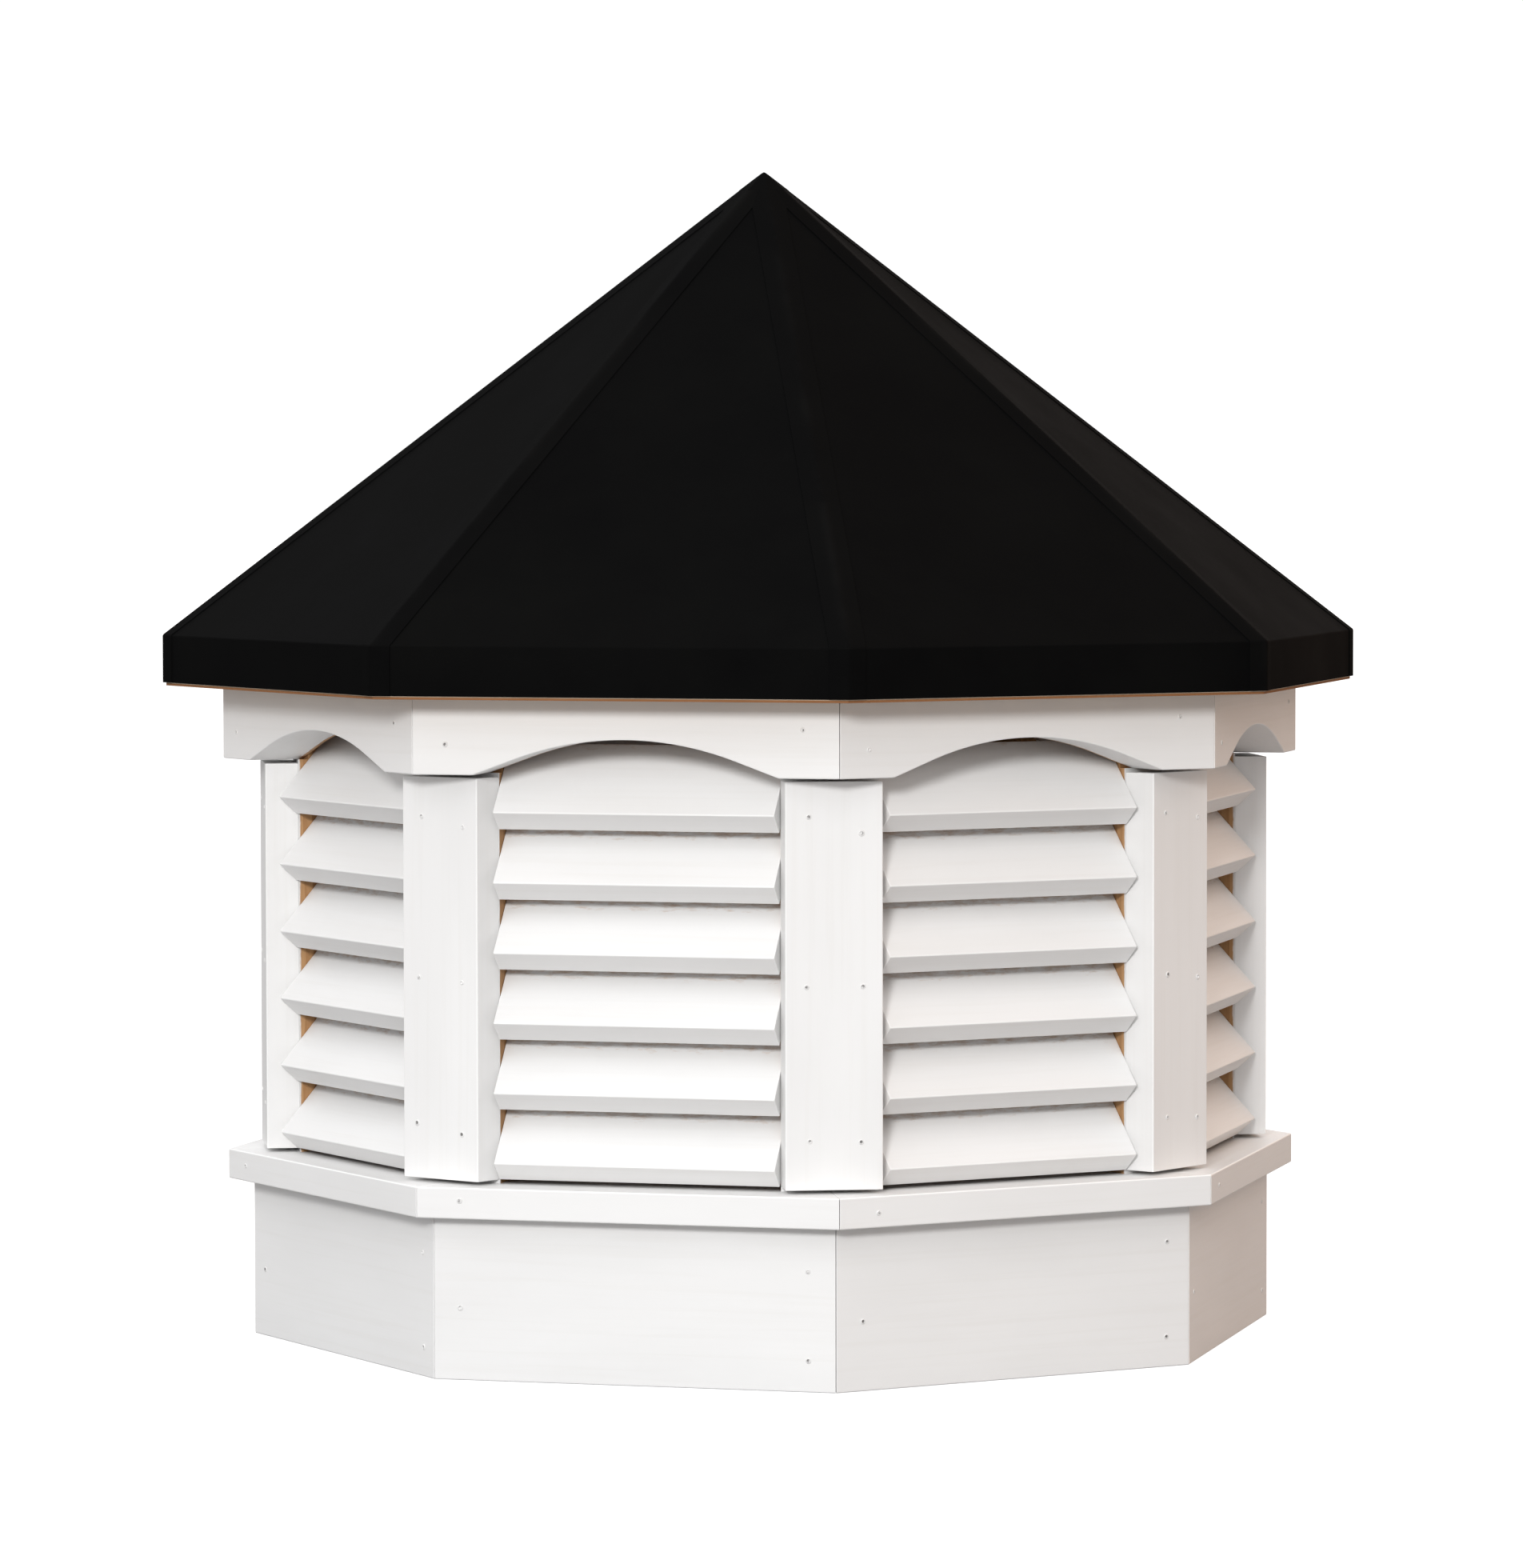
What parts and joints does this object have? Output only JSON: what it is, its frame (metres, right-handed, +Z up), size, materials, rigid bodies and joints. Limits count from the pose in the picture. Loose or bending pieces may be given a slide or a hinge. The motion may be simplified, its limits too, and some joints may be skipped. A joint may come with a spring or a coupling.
{
  "type": "roof cupola",
  "caption": "Octagonal louvred wooden cupola that vents a roof: white skirt, sill, corner boards and arched boards under a black pyramid roof with a drip edge.",
  "frame": {"origin": "on the vertical axis, at the bottom of the skirt", "axes": "+Z up along the axis; -Y out of the first flat side, +X out of a flat side to its right"},
  "size_m": [0.713, 0.713, 0.742],
  "materials": {
    "white_paint": "satin white paint on smooth boards",
    "raw_wood": "bare softwood and plywood",
    "roof_metal": "matte black paint"
  },
  "bodies": {
    "root": {"skirt_panel_1": "white_paint", "skirt_panel_2": "white_paint", "skirt_panel_3": "white_paint", "skirt_panel_4": "white_paint", "skirt_panel_5": "white_paint", "skirt_panel_6": "white_paint", "skirt_panel_7": "white_paint", "skirt_panel_8": "white_paint", "sill_board_1": "white_paint", "sill_board_2": "white_paint", "sill_board_3": "white_paint", "sill_board_4": "white_paint", "sill_board_5": "white_paint", "sill_board_6": "white_paint", "sill_board_7": "white_paint", "sill_board_8": "white_paint", "corner_board_1": "white_paint", "corner_board_2": "white_paint", "corner_board_3": "white_paint", "corner_board_4": "white_paint", "corner_board_5": "white_paint", "corner_board_6": "white_paint", "corner_board_7": "white_paint", "corner_board_8": "white_paint", "louvre_bank_1": "white_paint", "louvre_bank_2": "white_paint", "louvre_bank_3": "white_paint", "louvre_bank_4": "white_paint", "louvre_bank_5": "white_paint", "louvre_bank_6": "white_paint", "louvre_bank_7": "white_paint", "louvre_bank_8": "white_paint", "arch_board_1": "white_paint", "arch_board_2": "white_paint", "arch_board_3": "white_paint", "arch_board_4": "white_paint", "arch_board_5": "white_paint", "arch_board_6": "white_paint", "arch_board_7": "white_paint", "arch_board_8": "white_paint", "corner_studs": "raw_wood", "roof_base": "raw_wood", "roof_deck": "raw_wood", "roof_cover": "roof_metal"}
  },
  "joints": []
}
